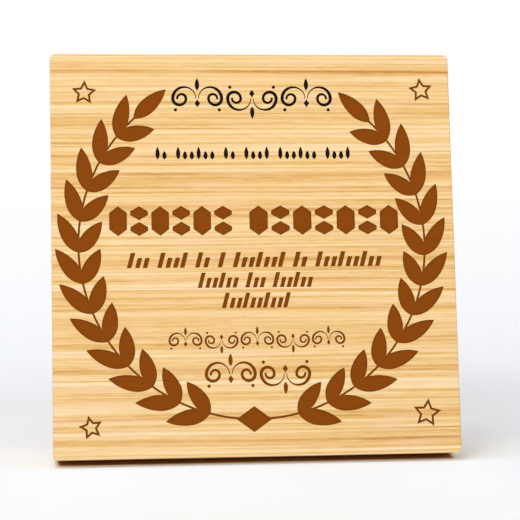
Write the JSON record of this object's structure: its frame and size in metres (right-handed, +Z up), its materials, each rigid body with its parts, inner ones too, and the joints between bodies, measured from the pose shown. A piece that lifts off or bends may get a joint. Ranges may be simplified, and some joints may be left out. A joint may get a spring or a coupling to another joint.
{
  "type": "award plaque",
  "caption": "Square bamboo award plaque with laurel wreath and ornament engraved on its face, leaning on a hinged leg that folds flat behind it.",
  "frame": {"origin": "on the surface it stands on, under the middle of the bounding box of the standing plaque with its leg open", "axes": "+X across the panel, to the right seen from the front; -Y the way the engraved face looks; +Z up"},
  "size_m": [0.15, 0.0674, 0.1497],
  "materials": {
    "bamboo_face": "sanded bamboo, clear matt oil, with burnt brown and black inked engraving",
    "bamboo_core": "cross-grained bamboo, sanded at the edges",
    "bamboo_back": "sanded bamboo",
    "bamboo_leg": "sanded bamboo",
    "brass": "rolled brass, brushed",
    "pin_steel": "drawn steel wire",
    "screw_brass": "turned brass"
  },
  "bodies": {
    "panel": {"face_ply": "bamboo_face", "core_ply": "bamboo_core", "back_ply": "bamboo_back", "hinge_cleat": "bamboo_back", "hinge_fixed_leaf": "brass", "hinge_pin": "pin_steel", "cleat_screws": "screw_brass"},
    "leg": {"easel_leg": "bamboo_leg", "hinge_moving_leaf": "brass", "leg_screws": "screw_brass"}
  },
  "joints": [
    {"name": "leg_hinge", "type": "hinge", "parent": "panel", "child": "leg", "pos_m": [0, 0.01041, 0.10098], "axis": [1, 0, 0], "range_deg": [-26, 0]}
  ]
}
